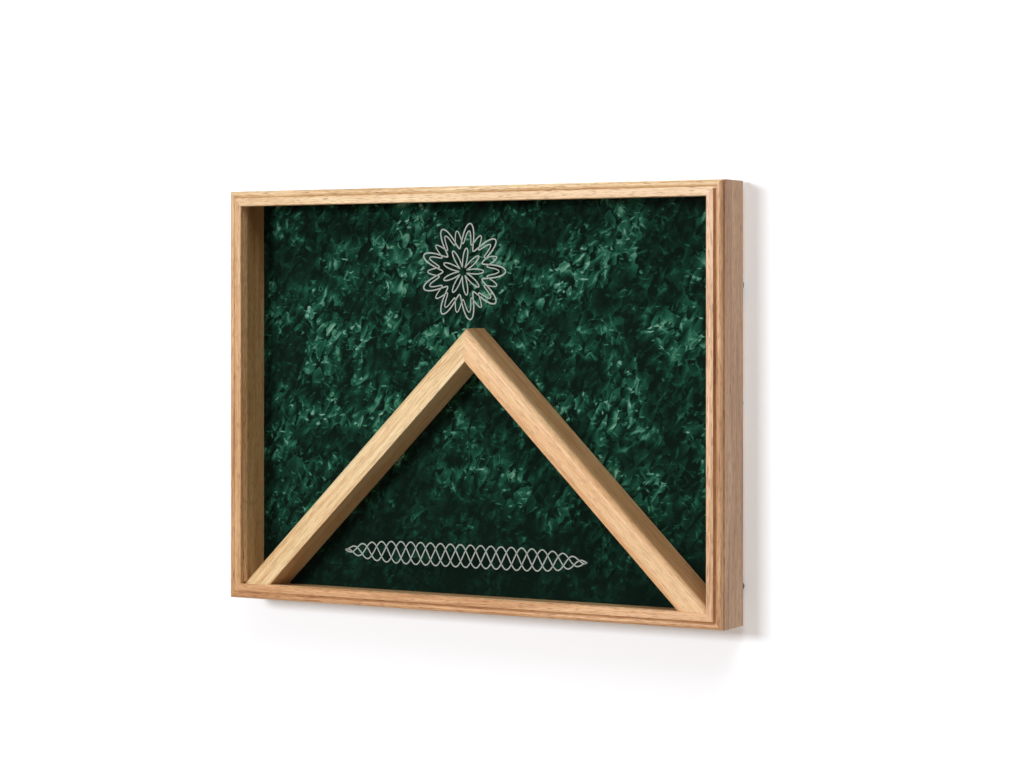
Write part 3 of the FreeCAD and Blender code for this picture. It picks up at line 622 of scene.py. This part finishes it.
def rolled_paint(name, lift):
    """Matt white paint with a roller's stipple, seen from the front only, lifted a little for the camera."""
    material, tree = new_material(name)
    where = add(tree, "TexCoord").outputs["Object"]
    roller = add(tree, "TexNoise", {"Scale": 1 / STIPPLE_SIZE, "Detail": 2.0}, {"Vector": where}).outputs[0]
    stipple = add(tree, "Bump", {"Strength": 0.03, "Distance": 0.5 * MM}, {"Height": roller}).outputs[0]
    matt = add(tree, "BsdfDiffuse", {"Color": linear("e9f1fa")}, {"Normal": stipple}).outputs[0]
    seen = add(tree, "LightPath").outputs["Is Camera Ray"]
    strength = add(tree, "MapRange", {"To Min": 0.0, "To Max": lift}, {"Value": seen}).outputs[0]
    glow = add(tree, "Emission", {"Color": linear("ffffff")}, {"Strength": strength}).outputs[0]
    front_side = add(tree, "AddShader", None, {0: matt, 1: glow}).outputs[0]
    back_side = add(tree, "BsdfTransparent").outputs[0]
    behind = add(tree, "NewGeometry").outputs["Backfacing"]
    one_sided = add(tree, "MixShader", None, {0: behind, 1: front_side, 2: back_side}).outputs[0]
    add(tree, "OutputMaterial", None, {"Surface": one_sided})
    return material


ends = [-STAGE_HALF, STAGE_HALF]
wide, deep = np.meshgrid(ends, ends, indexing="ij")
wall_grid = np.stack([wide, np.full_like(wide, WALL_AT), deep], axis=-1)
floor_grid = np.stack([wide, deep, np.full_like(wide, FLOOR_AT)], axis=-1)
for name, grid, lift in (("studio_wall", wall_grid, 0.22), ("studio_floor", floor_grid, 0.6)):
    panel = sheet_mesh(name, grid)
    panel.data.materials.append(rolled_paint(name + "_paint_rolled", lift))
    panel.visible_diffuse = panel.visible_glossy = panel.visible_shadow = False
print("wall at y", round(WALL_AT / MM, 1), "mm, floor at z", round(FLOOR_AT / MM), "mm")

# %% [markdown]
# ### Lamps
# A soft oblong lamp at the left gives the shadow on the right and leaves the inner left side dark. It
# stands high enough for the glass not to mirror it. A wide lamp above fills in, and one behind the case
# lights the back. Area lamps are used because a small lamp or a sun would draw hard shadows.

# %% Lamps
CASE_MIDDLE = (0, 0, 0.17)


def lamp(name, place, width, height, watts):
    """A white oblong area light that faces the middle of the case.

    Its tilt is the angle from straight down to the line of aim, and its turn is that line's bearing.
    """
    data = bpy.data.lights.new(name, "AREA")
    data.shape = "RECTANGLE"
    data.size, data.size_y = width, height
    data.energy = watts
    item = bpy.data.objects.new(name, data)
    item.location = place
    aim = np.array(CASE_MIDDLE) - np.array(place)
    tilt = math.atan2(math.hypot(aim[0], aim[1]), -aim[2])
    item.rotation_euler = (tilt, 0, math.atan2(aim[1], aim[0]) - math.pi / 2)
    bpy.context.scene.collection.objects.link(item)


lamp("key_left", place=(-1.0, -3.2, 0.8), width=1.1, height=0.6, watts=74)
lamp("soft_above", place=(0.9, -1.6, 2.3), width=1.5, height=1.5, watts=27)
lamp("soft_behind", place=(-0.7, 2.3, 1.2), width=1.2, height=1.2, watts=26)
print("lamps", [item.name for item in bpy.data.lights])

# %% [markdown]
# ### The air
# A room's walls throw some light back from every side. The world stands for that: a weak warm fill for
# the pieces, and plain white for what the camera, the metal and the glass see past the stage.

# %% Fill light
FILL_HUE, FILL_STRENGTH = "ffe2c8", 0.36
world = bpy.data.worlds.new("studio_air")
world.use_nodes = True
tree = world.node_tree
tree.nodes.clear()
path = add(tree, "LightPath").outputs
seen = path["Is Camera Ray"]
for kind in ("Is Glossy Ray", "Is Transmission Ray"):
    seen = add(tree, "Math", None, {0: seen, 1: path[kind]}, operation="MAXIMUM").outputs[0]
strength = add(tree, "MapRange", {"To Min": FILL_STRENGTH, "To Max": 1.0}, {"Value": seen}).outputs[0]
hue = add(tree, "Mix", {6: linear(FILL_HUE), 7: linear("ffffff")}, {0: seen}, data_type="RGBA").outputs[2]
air = add(tree, "Background", None, {"Color": hue, "Strength": strength}).outputs[0]
add(tree, "OutputWorld", None, {"Surface": air})
bpy.context.scene.world = world
bpy.context.scene.view_settings.view_transform = "Standard"
print("fill light of strength", FILL_STRENGTH)

# %% [markdown]
# ### Dark curtain
# A photographer hangs a dark curtain in front of a glazed picture, so that the glass has nothing pale to
# mirror. This one hangs behind the camera in shallow pleats, and only reflections see it. It is far larger
# than a real one, so that its edge stays out of the glass from every usual side.

# %% Curtain
CURTAIN_AT, CURTAIN_HALF = -4.0, 24.0
PLEAT = 0.2
PLEAT_DEPTH = 0.2 * PLEAT
PLEAT_STEPS = 8
pleat_count = round(2 * CURTAIN_HALF / PLEAT)
run = np.linspace(-CURTAIN_HALF, CURTAIN_HALF, pleat_count * PLEAT_STEPS + 1)
drop_x, drop_z = np.meshgrid(run, [-CURTAIN_HALF, CURTAIN_HALF], indexing="ij")
pleats = CURTAIN_AT + PLEAT_DEPTH * np.cos(2 * math.pi * drop_x / PLEAT)
curtain = sheet_mesh("studio_curtain", np.stack([drop_x, pleats, drop_z], axis=-1))
wool = speckled("curtain_wool_black", "0c0c0d", "151516", cell=3 * MM, metal=0.0, rough=0.9)
curtain.data.materials.append(wool)
curtain.visible_camera = curtain.visible_diffuse = curtain.visible_shadow = False
print("curtain of", pleat_count, "pleats")

# %% [markdown]
# ### Camera
# The camera stands to the right of the case, level, with a long lens. It could be tilted down to centre the
# case, but then upright edges would lean, so its frame is shifted instead. Its place and turn were fitted
# to the edges of the case in the picture.

# %% Camera
SENSOR_WIDTH, FOCAL_LENGTH = 36.0, 90.7  # millimetres on the camera
FRAME_SHIFT = -0.0855  # of the frame's width, downwards
SEES_TO = 50.0
CAMERA_AT = (1.0248, -1.782, 0.2483)
LEVEL, TURNED_LEFT = math.radians(90), math.radians(29.21)
eye = bpy.data.cameras.new("photo_camera")
eye.sensor_width = SENSOR_WIDTH
eye.lens = FOCAL_LENGTH
eye.shift_y = FRAME_SHIFT
eye.clip_end = SEES_TO
camera = bpy.data.objects.new("photo_camera", eye)
camera.location = CAMERA_AT
camera.rotation_euler = (LEVEL, 0, TURNED_LEFT)
bpy.context.scene.collection.objects.link(camera)
bpy.context.scene.camera = camera
print("camera", round(camera.location.length, 2), "m away")
